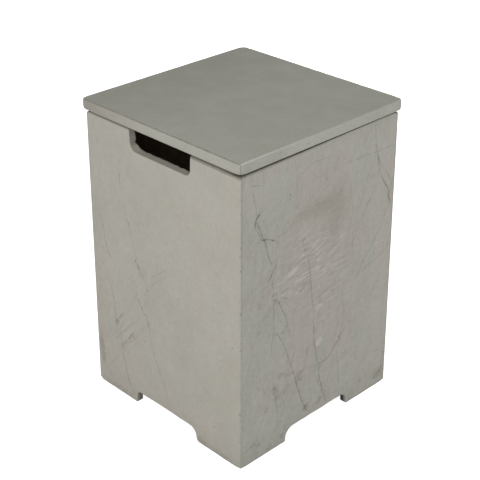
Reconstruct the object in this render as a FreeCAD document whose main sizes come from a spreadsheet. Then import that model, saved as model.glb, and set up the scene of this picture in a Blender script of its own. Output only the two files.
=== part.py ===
import FreeCAD, Part
import Sketcher
import os

# Propane tank cover table: a square cast casing that is dropped over a gas cylinder,
# and a loose slab lid that makes it a side table. All sizes are in millimetres.
# The frame's origin is at the floor under the middle of the casing, +Z is up,
# and the wall with the hand notch that is seen first is the front one, on the -Y side.

os.makedirs("parts", exist_ok=True)
doc = FreeCAD.newDocument("TankCoverTable")
sheet = doc.addObject("Spreadsheet::Sheet", "Sizes")

# Driving sizes
SIZES = [
    ("body_top_width", 396, "outer width of the casing at its rim"),
    ("body_height", 581, "height of the casing from the floor to its rim"),
    ("wall_draft", 5, "how much further out each wall stands at the floor than at the rim"),
    ("wall_thickness", 15, "thickness of the cast walls"),
    ("outer_corner_radius", 3, "rounding of the four upright outer edges"),
    ("inner_corner_radius", 14, "rounding where two walls meet inside"),
    ("edge_softness", 1.5, "easing of the rim, notch, arch and foot edges on the outside"),
    ("notch_width", 156, "width of a hand notch"),
    ("notch_depth", 41, "depth of a hand notch below the rim"),
    ("notch_corner_radius", 15, "rounding of the lower corners of a hand notch"),
    ("notch_mouth_radius", 5, "rounding where a hand notch meets the rim"),
    ("arch_width", 171, "width of the arch between two feet"),
    ("arch_height", 27, "height of the arch above the floor"),
    ("arch_wide_radius", 18, "rounding of the arch beside the front right and back right feet"),
    ("arch_tight_radius", 10, "rounding of the arch at its other end"),
    ("foot_toe_radius", 7, "worn toe of the right feet in the front and back arches"),
    ("lid_overhang", 5, "how far the lid stands out past the casing's rim on each side"),
    ("lid_thickness", 20, "thickness of the lid"),
    ("lid_corner_radius", 5, "rounding of the lid's upright corners"),
    ("lid_top_edge_radius", 2.5, "easing of the lid's upper edge"),
    ("lid_under_edge_bevel", 1.5, "bevel of the lid's lower edge"),
    ("bumper_thickness", 3, "thickness of a rubber bumper, which is the gap under the lid"),
    ("bumper_diameter", 12, "diameter of a rubber bumper"),
    ("block_leg_length", 62, "length of each leg of a locating block"),
    ("block_leg_width", 14, "width of each leg of a locating block"),
    ("block_depth", 14, "how far a locating block hangs below the lid"),
    ("block_clearance", 3, "gap between a locating block and the walls at the rim"),
    ("block_lead_in", 2.5, "chamfer that guides a locating block into the casing"),
    ("block_end_bevel", 4, "bevel of a locating block's free corners"),
    ("block_screw_setback", 44, "distance of a screw from the outer faces of its block"),
    ("screw_diameter", 4, "diameter of a screw's shank"),
    ("screw_length", 24, "length of a screw's shank"),
    ("screw_head_diameter", 8, "diameter of a screw's pan head"),
    ("screw_head_height", 2.6, "height of a screw's pan head"),
    ("recess_length", 4.6, "length of the cross recess in a screw's head"),
    ("recess_width", 1, "width of the cross recess in a screw's head"),
    ("recess_depth", 1.4, "depth of the cross recess in a screw's head"),
    ("screw_clearance", 0.3, "gap round a screw's shank inside its block"),
    ("plug_across_flats", 8, "width of a six-sided cast-in anchor plug across its flats"),
    ("plug_length", 13, "length of a cast-in anchor plug"),
    ("plug_end_wall", 1, "thickness of an anchor plug's closed end"),
    ("close_fit", 0.05, "gap round a plug in the lid and round a screw in its plug"),
]

for row, (alias, value, meaning) in enumerate(SIZES, start=1):
    sheet.set(f"A{row}", meaning)
    sheet.set(f"B{row}", str(value))
    sheet.setAlias(f"B{row}", alias)
doc.recompute()

# Sizes that follow from the driving ones, as formulas
CASING_BASE_WIDTH = "Sizes.body_top_width + 2 * Sizes.wall_draft"
HOLLOW_BASE_WIDTH = "Sizes.body_top_width + 2 * Sizes.wall_draft - 2 * Sizes.wall_thickness"
WALL_LEAN = "atan(Sizes.wall_draft / Sizes.body_height)"
LID_WIDTH = "Sizes.body_top_width + 2 * Sizes.lid_overhang"
LID_UNDERSIDE = "Sizes.body_height + Sizes.bumper_thickness"
BUMPER_PLACE = "Sizes.body_top_width / 2 - Sizes.wall_thickness / 2"
BLOCK_CORNER = "Sizes.body_top_width / 2 - Sizes.wall_thickness - Sizes.block_clearance"
SCREW_FAR = f"{BLOCK_CORNER} - Sizes.block_leg_width / 2"
SCREW_NEAR = f"{BLOCK_CORNER} - Sizes.block_screw_setback"

# Radius of a turned piece's half section where it lies on the axis
AXIS = "0"

# How far a cutting outline runs past the face that it opens
OVERRUN = 10
TOUCH = 1e-3


def value_of(formula):
    """The present value of a formula in the driving sizes."""
    return float(sheet.evalExpression(formula))


def size(alias):
    return value_of(f"Sizes.{alias}")


def new_body(label):
    body = doc.addObject("PartDesign::Body", label)
    body.Label = label
    return body


def plane_of(body, role):
    for feature in body.Origin.OriginFeatures:
        if feature.Role == role:
            return feature
    raise ValueError(role)


def new_sketch(body, name, role):
    sketch = body.newObject("Sketcher::SketchObject", name)
    sketch.AttachmentSupport = [(plane_of(body, role), "")]
    sketch.MapMode = "FlatFace"
    return sketch


def closed_outline(sketch, points):
    """Straight lines through points, joined end to end. A line along an axis stays so."""
    first = sketch.GeometryCount
    count = len(points)
    for i, (x, y) in enumerate(points):
        nx, ny = points[(i + 1) % count]
        line = Part.LineSegment(FreeCAD.Vector(x, y, 0), FreeCAD.Vector(nx, ny, 0))
        sketch.addGeometry(line, False)
    for i, (x, y) in enumerate(points):
        nx, ny = points[(i + 1) % count]
        following = first + (i + 1) % count
        sketch.addConstraint(Sketcher.Constraint("Coincident", first + i, 2, following, 1))
        if abs(ny - y) < TOUCH:
            sketch.addConstraint(Sketcher.Constraint("Horizontal", first + i))
        elif abs(nx - x) < TOUCH:
            sketch.addConstraint(Sketcher.Constraint("Vertical", first + i))
    return first


def dimension(sketch, name, kind, formula, *elements):
    """A named dimension of a sketch, bound to the sheet."""
    index = sketch.addConstraint(Sketcher.Constraint(kind, *elements, value_of(formula)))
    sketch.renameConstraint(index, name)
    sketch.setExpression(f"Constraints.{name}", formula)


def centred_square(sketch, formula):
    half = value_of(formula) / 2
    first = closed_outline(sketch, [(-half, -half), (half, -half), (half, half), (-half, half)])
    sketch.addConstraint(Sketcher.Constraint("Symmetric", first, 1, first + 2, 1, -1, 1))
    dimension(sketch, "width", "DistanceX", formula, first, 1, first, 2)
    dimension(sketch, "depth", "DistanceY", formula, first + 1, 1, first + 1, 2)


def centred_slot(sketch, width, low, high):
    """A rectangle that is centred on the upright axis and runs from low to high."""
    half = value_of(width) / 2
    foot = value_of(low)
    head = value_of(high)
    first = closed_outline(sketch, [(-half, foot), (half, foot), (half, head), (-half, head)])
    dimension(sketch, "width", "DistanceX", width, first, 1, first, 2)
    dimension(sketch, "half_width", "DistanceX", f"({width}) / 2", -1, 1, first, 2)
    dimension(sketch, "low", "DistanceY", low, -1, 1, first, 1)
    dimension(sketch, "high", "DistanceY", high, -1, 1, first + 2, 1)


def circle_at(sketch, name, x, y, diameter):
    centre = FreeCAD.Vector(value_of(x), value_of(y), 0)
    circle = Part.Circle(centre, FreeCAD.Vector(0, 0, 1), value_of(diameter) / 2)
    index = sketch.addGeometry(circle)
    dimension(sketch, f"{name}_x", "DistanceX", x, -1, 1, index, 3)
    dimension(sketch, f"{name}_y", "DistanceY", y, -1, 1, index, 3)
    dimension(sketch, f"{name}_diameter", "Diameter", diameter, index)


def hexagon_at(sketch, name, x, y, across_flats):
    """A hexagon centred at x, y, with two of its flats along the X axis."""
    reach = f"({across_flats}) / sqrt(3)"
    corners = []
    for turn in range(0, 360, 60):
        corners.append((f"({x}) + {reach} * cos({turn})", f"({y}) + {reach} * sin({turn})"))
    first = closed_outline(sketch, [(value_of(at_x), value_of(at_y)) for at_x, at_y in corners])
    for i, (at_x, at_y) in enumerate(corners):
        dimension(sketch, f"{name}_{i}_x", "DistanceX", at_x, -1, 1, first + i, 1)
        # the corner at the end of a level flat has its height from the flat
        if i not in (2, 5):
            dimension(sketch, f"{name}_{i}_y", "DistanceY", at_y, -1, 1, first + i, 1)


def pad(body, name, sketch, length, downwards=False):
    feature = body.newObject("PartDesign::Pad", name)
    feature.Profile = sketch
    feature.Reversed = downwards
    feature.setExpression("Length", length)
    return feature


def pocket(body, name, sketch, length=None, reverse=False, both_ways=False):
    feature = body.newObject("PartDesign::Pocket", name)
    feature.Profile = sketch
    feature.Reversed = reverse
    if both_ways:
        feature.Type = "ThroughAll"
        feature.SideType = "Symmetric"
    else:
        feature.setExpression("Length", length)
    return feature


def lean_walls(body, name, base, test, outwards):
    """Leans the upright faces of base that satisfy a test, about the floor's level."""
    doc.recompute()
    faces = []
    for index, face in enumerate(base.Shape.Faces, start=1):
        upright = abs(face.normalAt(0, 0).z) < TOUCH
        if upright and test(face.CenterOfMass):
            faces.append(f"Face{index}")
    feature = body.newObject("PartDesign::Draft", name)
    feature.Base = (base, faces)
    feature.NeutralPlane = (plane_of(body, "XY_Plane"), [""])
    feature.PullDirection = (plane_of(body, "Z_Axis"), [""])
    feature.Reversed = outwards
    feature.setExpression("Angle", WALL_LEAN)
    return feature


def edges_where(shape, test):
    """Names of the edges whose middle and two ends satisfy a test."""
    names = []
    for index, edge in enumerate(shape.Edges, start=1):
        span = edge.ParameterRange
        middle = edge.valueAt((span[0] + span[1]) / 2)
        start = edge.valueAt(span[0])
        end = edge.valueAt(span[1])
        if test(middle, start, end):
            names.append(f"Edge{index}")
    return names


def soften(body, kind, name, base, size_name, formula, test):
    """A fillet or chamfer on the edges of base that satisfy a test."""
    doc.recompute()
    feature = body.newObject(kind, name)
    feature.Base = (base, edges_where(base.Shape, test))
    feature.setExpression(size_name, formula)
    return feature


def fillet(body, name, base, formula, test):
    return soften(body, "PartDesign::Fillet", name, base, "Radius", formula, test)


def chamfer(body, name, base, formula, test):
    return soften(body, "PartDesign::Chamfer", name, base, "Size", formula, test)


def quarter_turns(body, name, originals):
    """Repeats features at the four corners, round the upright axis."""
    pattern = body.newObject("PartDesign::PolarPattern", name)
    pattern.Originals = originals
    pattern.Axis = (plane_of(body, "Z_Axis"), [""])
    pattern.Angle = 360
    pattern.Occurrences = 4
    body.Tip = pattern
    return pattern


def place(body, x=None, y=None, z=None, turn=0):
    """Puts a body at a place given by formulas, turned about the upright axis."""
    body.Placement = FreeCAD.Placement(
        FreeCAD.Vector(0, 0, 0), FreeCAD.Rotation(FreeCAD.Vector(0, 0, 1), turn)
    )
    for axis, formula in (("x", x), ("y", y), ("z", z)):
        if formula:
            body.setExpression(f"Placement.Base.{axis}", formula)


def is_upright(start, end):
    return abs(end.z - start.z) > size("body_height") / 2


def runs_along(start, end, axis):
    """True of an edge whose two ends differ along one axis only."""
    step = end - start
    others = [abs(getattr(step, other)) for other in "xyz" if other != axis]
    return abs(getattr(step, axis)) > TOUCH and max(others) < TOUCH


def crosses_wall(start, end, axis):
    """True of a straight edge that crosses a wall level from its inside to its outside."""
    length = (end - start).Length
    return runs_along(start, end, axis) and abs(length - size("wall_thickness")) < TOUCH


# Casing: one casting with four leaning walls, open above and below
def make_cover_body():
    body = new_body("cover_body")

    footprint = new_sketch(body, "casing_footprint", "XY_Plane")
    centred_square(footprint, CASING_BASE_WIDTH)
    block = pad(body, "casing_block", footprint, "Sizes.body_height")
    leaning = lean_walls(body, "outer_draft", block, lambda centre: True, False)
    fillet(
        body, "outer_corners", leaning, "Sizes.outer_corner_radius",
        lambda middle, start, end: is_upright(start, end),
    )

    hollow_footprint = new_sketch(body, "hollow_footprint", "XY_Plane")
    centred_square(hollow_footprint, HOLLOW_BASE_WIDTH)
    hollow = pocket(body, "hollow", hollow_footprint, "Sizes.body_height", reverse=True)
    inside = size("body_top_width") / 2 + size("wall_draft") - size("wall_thickness") / 2
    leaning = lean_walls(
        body, "inner_draft", hollow,
        lambda centre: max(abs(centre.x), abs(centre.y)) < inside, True,
    )
    fillet(
        body, "inner_corners", leaning, "Sizes.inner_corner_radius",
        lambda middle, start, end: is_upright(start, end)
        and max(abs(middle.x), abs(middle.y)) < inside,
    )

    notch_outline = new_sketch(body, "notch_outline", "XZ_Plane")
    centred_slot(
        notch_outline, "Sizes.notch_width", "Sizes.body_height - Sizes.notch_depth",
        f"Sizes.body_height + {OVERRUN}",
    )
    pocket(body, "hand_notches", notch_outline, both_ways=True)

    front_arch_outline = new_sketch(body, "front_arch_outline", "XZ_Plane")
    centred_slot(front_arch_outline, "Sizes.arch_width", f"-{OVERRUN}", "Sizes.arch_height")
    pocket(body, "front_and_back_arches", front_arch_outline, both_ways=True)

    side_arch_outline = new_sketch(body, "side_arch_outline", "YZ_Plane")
    centred_slot(side_arch_outline, "Sizes.arch_width", f"-{OVERRUN}", "Sizes.arch_height")
    side_arches = pocket(body, "side_arches", side_arch_outline, both_ways=True)

    notch_floor = size("body_height") - size("notch_depth")
    last = fillet(
        body, "notch_corners", side_arches, "Sizes.notch_corner_radius",
        lambda middle, start, end: crosses_wall(start, end, "y")
        and abs(middle.z - notch_floor) < TOUCH,
    )
    last = fillet(
        body, "notch_mouths", last, "Sizes.notch_mouth_radius",
        lambda middle, start, end: crosses_wall(start, end, "y")
        and abs(middle.z - size("body_height")) < TOUCH,
    )

    def arch_corner(middle, start, end, wide):
        if abs(middle.z - size("arch_height")) > TOUCH:
            return False
        if crosses_wall(start, end, "y"):
            return (middle.x > 0) == wide
        if crosses_wall(start, end, "x"):
            return (middle.y < 0) == wide
        return False

    last = fillet(
        body, "arch_wide_corners", last, "Sizes.arch_wide_radius",
        lambda middle, start, end: arch_corner(middle, start, end, True),
    )
    last = fillet(
        body, "arch_tight_corners", last, "Sizes.arch_tight_radius",
        lambda middle, start, end: arch_corner(middle, start, end, False),
    )
    last = fillet(
        body, "worn_toes", last, "Sizes.foot_toe_radius",
        lambda middle, start, end: crosses_wall(start, end, "y")
        and abs(middle.z) < TOUCH and middle.x > 0,
    )

    def outer_rim_or_foot(middle, start, end):
        level = abs(start.z - end.z) < TOUCH
        at_end = min(abs(middle.z), abs(middle.z - size("body_height"))) < TOUCH
        height_share = middle.z / size("body_height")
        wall_face = size("body_top_width") / 2 + size("wall_draft") * (1 - height_share)
        on_face = abs(max(abs(middle.x), abs(middle.y)) - wall_face) < TOUCH
        return level and at_end and on_face

    last = fillet(body, "soft_edges", last, "Sizes.edge_softness", outer_rim_or_foot)
    body.Tip = last
    return body


# Lid: one flat slab with cast-in places for the anchor plugs
def make_lid_slab():
    body = new_body("lid_slab")
    outline = new_sketch(body, "lid_outline", "XY_Plane")
    centred_square(outline, LID_WIDTH)
    slab = pad(body, "slab", outline, "Sizes.lid_thickness")
    last = fillet(
        body, "lid_corners", slab, "Sizes.lid_corner_radius",
        lambda middle, start, end: runs_along(start, end, "z"),
    )
    last = fillet(
        body, "lid_top_edge", last, "Sizes.lid_top_edge_radius",
        lambda middle, start, end: abs(middle.z - size("lid_thickness")) < TOUCH,
    )
    last = chamfer(
        body, "lid_under_edge", last, "Sizes.lid_under_edge_bevel",
        lambda middle, start, end: abs(middle.z) < TOUCH,
    )
    holes = new_sketch(body, "plug_holes", "XY_Plane")
    hole_width = "Sizes.plug_across_flats + 2 * Sizes.close_fit"
    hexagon_at(holes, "first", SCREW_FAR, SCREW_NEAR, hole_width)
    hexagon_at(holes, "second", SCREW_NEAR, SCREW_FAR, hole_width)
    doc.recompute()
    first_pair = pocket(body, "plug_pockets", holes, "Sizes.plug_length", reverse=True)
    quarter_turns(body, "plug_pockets_at_corners", [first_pair])
    place(body, z=LID_UNDERSIDE)
    return body


# Bumpers: discs punched from rubber sheet and stuck under the lid, which rest on the
# corners of the rim
def make_bumper(label, side_x, side_y):
    body = new_body(label)
    outline = new_sketch(body, f"{label}_outline", "XY_Plane")
    circle = outline.addGeometry(
        Part.Circle(FreeCAD.Vector(0, 0, 0), FreeCAD.Vector(0, 0, 1), size("bumper_diameter") / 2)
    )
    outline.addConstraint(Sketcher.Constraint("Coincident", circle, 3, -1, 1))
    dimension(outline, "diameter", "Diameter", "Sizes.bumper_diameter", circle)
    pad(body, f"{label}_disc", outline, "Sizes.bumper_thickness")
    place(
        body, f"{side_x} * ({BUMPER_PLACE})", f"{side_y} * ({BUMPER_PLACE})",
        "Sizes.body_height",
    )
    return body


# Locating blocks: angle pieces under the lid that drop inside the corners of the walls.
# Each is drawn with its outer corner at its own origin and its legs along -X and -Y.
def make_locating_block(label, side_x, side_y, turn):
    body = new_body(label)
    outline = new_sketch(body, f"{label}_outline", "XY_Plane")
    points = [(0, 0), (-40, 0), (-40, -10), (-10, -10), (-10, -40), (0, -40)]
    first = closed_outline(outline, points)
    outline.addConstraint(Sketcher.Constraint("Coincident", first, 1, -1, 1))
    for name, kind, line in (("leg_x", "DistanceX", first), ("leg_y", "DistanceY", first + 5)):
        ends = (2, 1) if kind == "DistanceX" else (1, 2)
        dimension(outline, name, kind, "Sizes.block_leg_length", line, ends[0], line, ends[1])
    dimension(
        outline, "width_x", "DistanceY", "Sizes.block_leg_width", first + 1, 2, first + 1, 1
    )
    dimension(
        outline, "width_y", "DistanceX", "Sizes.block_leg_width", first + 4, 1, first + 4, 2
    )
    angle_piece = pad(
        body, f"{label}_angle", outline, "Sizes.block_depth", downwards=True
    )
    last = fillet(
        body, f"{label}_heel", angle_piece,
        "Sizes.inner_corner_radius - Sizes.block_clearance",
        lambda middle, start, end: runs_along(start, end, "z")
        and max(abs(middle.x), abs(middle.y)) < TOUCH,
    )
    leg_end = size("block_leg_length")
    last = chamfer(
        body, f"{label}_leg_ends", last, "Sizes.block_end_bevel",
        lambda middle, start, end: runs_along(start, end, "z")
        and max(abs(middle.x), abs(middle.y)) > leg_end - TOUCH,
    )
    last = chamfer(
        body, f"{label}_lead_in", last, "Sizes.block_lead_in",
        lambda middle, start, end: abs(middle.z + size("block_depth")) < TOUCH
        and max(middle.x, middle.y) > -TOUCH,
    )

    half_leg = "-Sizes.block_leg_width / 2"
    setback = "-Sizes.block_screw_setback"
    holes = new_sketch(body, f"{label}_screw_holes", "XY_Plane")
    holes.setExpression("AttachmentOffset.Base.z", "-Sizes.block_depth")
    hole_width = "Sizes.screw_diameter + 2 * Sizes.screw_clearance"
    circle_at(holes, "first", half_leg, setback, hole_width)
    circle_at(holes, "second", setback, half_leg, hole_width)
    pocket(body, f"{label}_screw_bores", holes, "Sizes.block_depth", reverse=True)
    place(
        body, f"{side_x} * ({BLOCK_CORNER})", f"{side_y} * ({BLOCK_CORNER})",
        LID_UNDERSIDE, turn,
    )
    return body


def turned_profile(body, name, x, y, steps):
    """A revolved piece on an upright axis at x, y. steps lists the radius and height of
    the corners of its half section, from the foot of the axis round to its top. None
    stands for the same as at the corner before."""
    sketch = new_sketch(body, f"{name}_profile", "XZ_Plane")
    sketch.setExpression("AttachmentOffset.Base.z", f"-({y})")
    sketch.setExpression("AttachmentOffset.Base.x", x)
    points = []
    for radius, height in steps:
        at_radius = value_of(radius) if radius else points[-1][0]
        at_height = value_of(height) if height else points[-1][1]
        points.append((at_radius, at_height))
    first = closed_outline(sketch, points)
    sketch.addConstraint(Sketcher.Constraint("PointOnObject", first, 1, -2))
    for i, (radius, height) in enumerate(steps):
        if radius and radius != AXIS:
            dimension(sketch, f"radius_{i}", "DistanceX", radius, -1, 1, first + i, 1)
        if height:
            dimension(sketch, f"height_{i}", "DistanceY", height, -1, 1, first + i, 1)
    turned = body.newObject("PartDesign::Revolution", name)
    turned.Profile = sketch
    turned.ReferenceAxis = (sketch, ["V_Axis"])
    turned.Angle = 360
    return turned


# Screws: two pan-head screws to a block, driven from below into the anchor plugs
def make_block_screws():
    body = new_body("block_screws")
    body.AllowCompound = True
    seat = "-Sizes.block_depth"
    head_foot = f"{seat} - Sizes.screw_head_height"
    steps = [
        (AXIS, head_foot),
        ("Sizes.screw_head_diameter / 2", None),
        (None, seat),
        ("Sizes.screw_diameter / 2", None),
        (None, f"{seat} + Sizes.screw_length"),
        (AXIS, None),
    ]
    turned = [
        turned_profile(body, "first_screw", SCREW_FAR, SCREW_NEAR, steps),
        turned_profile(body, "second_screw", SCREW_NEAR, SCREW_FAR, steps),
    ]
    doc.recompute()
    crosses = new_sketch(body, "cross_recesses", "XY_Plane")
    crosses.setExpression("AttachmentOffset.Base.z", head_foot)
    cross_outline(crosses, "first", SCREW_FAR, SCREW_NEAR)
    cross_outline(crosses, "second", SCREW_NEAR, SCREW_FAR)
    recesses = pocket(body, "recesses", crosses, "Sizes.recess_depth", reverse=True)
    doc.recompute()
    quarter_turns(body, "screws_at_corners", [*turned, recesses])
    place(body, z=LID_UNDERSIDE)
    return body


def cross_outline(sketch, name, x, y):
    """A plus-shaped outline of twelve lines, centred at x, y."""
    arm = "Sizes.recess_length / 2"
    half = "Sizes.recess_width / 2"
    corners = []
    for side_x, side_y in ((1, 1), (-1, 1), (-1, -1), (1, -1)):
        near_arm = (f"({x}) + {side_x} * {arm}", f"({y}) + {side_y} * {half}")
        inner = (f"({x}) + {side_x} * {half}", f"({y}) + {side_y} * {half}")
        far_arm = (f"({x}) + {side_x} * {half}", f"({y}) + {side_y} * {arm}")
        in_order = [near_arm, inner, far_arm]
        corners += in_order if side_x == side_y else in_order[::-1]
    first = closed_outline(sketch, [(value_of(at_x), value_of(at_y)) for at_x, at_y in corners])
    # every other corner has its place from the lines that meet in it
    for i in range(0, 12, 2):
        at_x, at_y = corners[i]
        dimension(sketch, f"{name}_{i}_x", "DistanceX", at_x, -1, 1, first + i, 1)
        dimension(sketch, f"{name}_{i}_y", "DistanceY", at_y, -1, 1, first + i, 1)


# Anchor plugs: six-sided nylon sleeves with a closed end, cast into the underside of the lid
def make_anchor_plugs():
    body = new_body("anchor_plugs")
    body.AllowCompound = True
    outlines = new_sketch(body, "plug_outlines", "XY_Plane")
    hexagon_at(outlines, "first", SCREW_FAR, SCREW_NEAR, "Sizes.plug_across_flats")
    hexagon_at(outlines, "second", SCREW_NEAR, SCREW_FAR, "Sizes.plug_across_flats")
    plugs = pad(body, "plugs", outlines, "Sizes.plug_length")
    doc.recompute()
    bore_outlines = new_sketch(body, "bore_outlines", "XY_Plane")
    bore = "Sizes.screw_diameter + 2 * Sizes.close_fit"
    circle_at(bore_outlines, "first", SCREW_FAR, SCREW_NEAR, bore)
    circle_at(bore_outlines, "second", SCREW_NEAR, SCREW_FAR, bore)
    bores = pocket(
        body, "plug_bores", bore_outlines, "Sizes.plug_length - Sizes.plug_end_wall",
        reverse=True,
    )
    doc.recompute()
    quarter_turns(body, "plugs_at_corners", [plugs, bores])
    place(body, z=LID_UNDERSIDE)
    return body


# The corners, with the side each lies on and the turn that brings a block there
CORNERS = [
    ("back_right", 1, 1, 0),
    ("back_left", -1, 1, 90),
    ("front_left", -1, -1, 180),
    ("front_right", 1, -1, 270),
]

sub_parts = [make_cover_body(), make_lid_slab()]
for corner, side_x, side_y, turn in CORNERS:
    sub_parts.append(make_bumper(f"rim_bumper_{corner}", side_x, side_y))
for corner, side_x, side_y, turn in CORNERS:
    sub_parts.append(make_locating_block(f"locating_block_{corner}", side_x, side_y, turn))
sub_parts.append(make_block_screws())
sub_parts.append(make_anchor_plugs())
doc.recompute()

# Every object has to be sound before anything is written
failed = [item.Name for item in doc.Objects if {"Invalid", "Error"} & set(item.State)]
if failed:
    raise RuntimeError(f"these failed: {failed}")
for item in sub_parts:
    if item.Shape.isNull() or not item.Shape.isValid():
        raise RuntimeError(f"{item.Label} has no sound shape")

for item in sub_parts:
    item.Shape.exportStep(os.path.join("parts", f"{item.Label}.step"))
    box = item.Shape.BoundBox
    print(
        f"{item.Label}: {len(item.Shape.Solids)} solids, {item.Shape.Volume / 1e6:.4f} litres,"
        f" x {box.XMin:.1f} to {box.XMax:.1f}, y {box.YMin:.1f} to {box.YMax:.1f},"
        f" z {box.ZMin:.1f} to {box.ZMax:.1f}"
    )
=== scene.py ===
import math
import random
from collections import namedtuple

import bpy
import numpy as np
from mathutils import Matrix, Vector, noise


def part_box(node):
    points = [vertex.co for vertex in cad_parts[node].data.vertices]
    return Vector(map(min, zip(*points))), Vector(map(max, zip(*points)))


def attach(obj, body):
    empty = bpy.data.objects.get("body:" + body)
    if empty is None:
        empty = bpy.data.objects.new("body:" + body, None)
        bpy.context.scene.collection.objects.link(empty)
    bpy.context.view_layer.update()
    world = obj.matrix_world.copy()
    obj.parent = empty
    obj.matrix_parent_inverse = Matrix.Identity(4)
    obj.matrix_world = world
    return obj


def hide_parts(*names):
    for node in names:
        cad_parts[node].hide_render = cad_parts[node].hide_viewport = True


# Propane tank cover table: a square cast casing and a loose slab lid, in metres.
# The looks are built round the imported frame, which gives the place of every piece.
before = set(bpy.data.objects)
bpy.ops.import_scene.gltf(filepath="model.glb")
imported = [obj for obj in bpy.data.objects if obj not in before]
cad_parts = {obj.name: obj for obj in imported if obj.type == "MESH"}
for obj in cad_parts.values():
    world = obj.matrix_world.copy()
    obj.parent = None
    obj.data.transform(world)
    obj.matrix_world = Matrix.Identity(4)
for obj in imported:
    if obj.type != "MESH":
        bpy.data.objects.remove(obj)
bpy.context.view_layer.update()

MM = 0.001

_, body_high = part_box("cover_body")
lid_low, lid_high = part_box("lid_slab")

# The walls, and the corners that each begins with, anticlockwise
FRONT, RIGHT, BACK, LEFT = range(4)

# Casing, as it was cast
BASE_HALF = body_high.x
RIM = body_high.z
DRAFT = 5 * MM
WALL = 15 * MM
OUTER_CORNER = 3 * MM
INNER_CORNER = 14 * MM

# Hand notch in the front and the back wall
NOTCH_HALF = 78 * MM
NOTCH_FLOOR = RIM - 41 * MM
NOTCH_MOUTH = 5 * MM
# The mould leaves the inner edge of the notch standing this far into the opening, with
# chips broken out of it. Towards the rim it stands less, over this height.
NOTCH_FLASH = 2.2 * MM
NOTCH_CHIP = 2.6 * MM
NOTCH_EASE = 20 * MM
# The front notch's lower left corner has more of it, and a chip beside that: the place
# along and up, the reach, and the depth, which is below 0 where concrete stands
FRONT_CORNER = [
    ((-70 * MM, 543 * MM), 9 * MM, -2.2 * MM),
    ((-76 * MM, 550.5 * MM), 3 * MM, 4.2 * MM),
]

# Arch between the feet, and how far its top waves up and down
ARCH_HALF = 85.5 * MM
ARCH_TOP = 27 * MM
ARCH_WAVE = 1.6 * MM
ARCH_WAVE_SIZE = 0.035

# How far the upright sides of the openings lean in
SIDE_LEAN = 0.8 * MM

# What differs from wall to wall: the arch's upper corners and the toes beside it, the seed
# of its waves, and the notch's lower corners. Each pair is the left and the right radius.
Cast = namedtuple("Cast", "bends toes seed notch_bends")
WALLS = [
    Cast((10 * MM, 19 * MM), (2 * MM, 7 * MM), 1.3, (16 * MM, 12 * MM)),
    Cast((19 * MM, 17 * MM), (2 * MM, 2 * MM), 5.7, None),
    Cast((18 * MM, 10 * MM), (7 * MM, 2 * MM), 9.1, (14 * MM, 15 * MM)),
    Cast((10 * MM, 18 * MM), (2 * MM, 2 * MM), 13.9, None),
]

# How many cells each stretch of a wall's outline and of its section is divided into
FOOT_CELLS = 17
TOE_CELLS = 4
SIDE_CELLS = 4
BEND_CELLS = 6
SPAN_CELLS = 26
SPAN_START = FOOT_CELLS + TOE_CELLS + SIDE_CELLS + BEND_CELLS
CORNER_CELLS = 6
OUTER_ROWS = 96
INNER_ROWS = 40
ROUND_CELLS = 4
ACROSS_CELLS = 4

# Where the outer and inner plans part, on the way to a corner
STRAIGHT_HALF = 100 * MM

# Share of a wall's height over which its columns go over to an even spacing
EVEN_FROM = 0.25

# Wear on the casing's corners: how far the rim and the feet are worn back there, and over
# what length
RIM_WEAR = [3.5 * MM, 1.5 * MM, 2.5 * MM, 3.0 * MM]
FOOT_WEAR = [4.5 * MM, 1.6 * MM, 1.8 * MM, 3.0 * MM]
WEAR_LENGTH = 4 * MM

# Uneven height of the rim and the feet
RIM_RIPPLE = 0.35 * MM
FOOT_RIPPLE = 0.5 * MM

# Rounding of the edges, and how much more of it there is where they are chipped
RIM_ROUND = 1.8 * MM
RIM_CHIP = 1.4 * MM
FOOT_ROUND = 1.2 * MM
FOOT_CHIP = 1.0 * MM
INNER_ROUND = 2 * MM
CHIP_SIZE = 0.012

# The rim is lower and more rounded towards the corner of the front and the right wall
CORNER_DROP = 0.9 * MM
CORNER_ROUND = 3.0 * MM
CORNER_REACH = 150 * MM

# Waviness and shallow pits of the cast faces
CAST_WAVE = 0.25 * MM
CAST_PITS = 0.1 * MM


def lerp(a, b, share):
    return a + (b - a) * share


def smooth(low, high, value):
    share = np.clip((value - low) / (high - low), 0, 1)
    return share * share * (3 - 2 * share)


def inset(place, normal, distance):
    return place[0] - normal[0] * distance, place[1] - normal[1] * distance


# Outlines
class Outline:
    """A line of places, along a wall and up or in the lid's plan. On a wall each has a normal
    that points out of the concrete. Each stretch goes on from the last place."""

    def __init__(self, start, normal):
        self.places = [start]
        self.normals = [normal]

    def to(self, end, normal, cells):
        """A straight stretch."""
        start = self.places[-1]
        for i in range(1, cells + 1):
            self.places.append((lerp(start[0], end[0], i / cells), lerp(start[1], end[1], i / cells)))
            self.normals.append(normal)

    def arc(self, radius, start, end, cells, inward=False):
        """An arc between two directions in degrees, seen from its centre. The concrete is at
        its centre, or round it where the arc is an inward one."""
        side = -1 if inward else 1
        first = math.radians(start)
        last = self.places[-1]
        centre = (last[0] - radius * math.cos(first), last[1] - radius * math.sin(first))
        for i in range(1, cells + 1):
            turn = math.radians(lerp(start, end, i / cells))
            along, up = math.cos(turn), math.sin(turn)
            self.places.append((centre[0] + radius * along, centre[1] + radius * up))
            self.normals.append((side * along, side * up))


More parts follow.
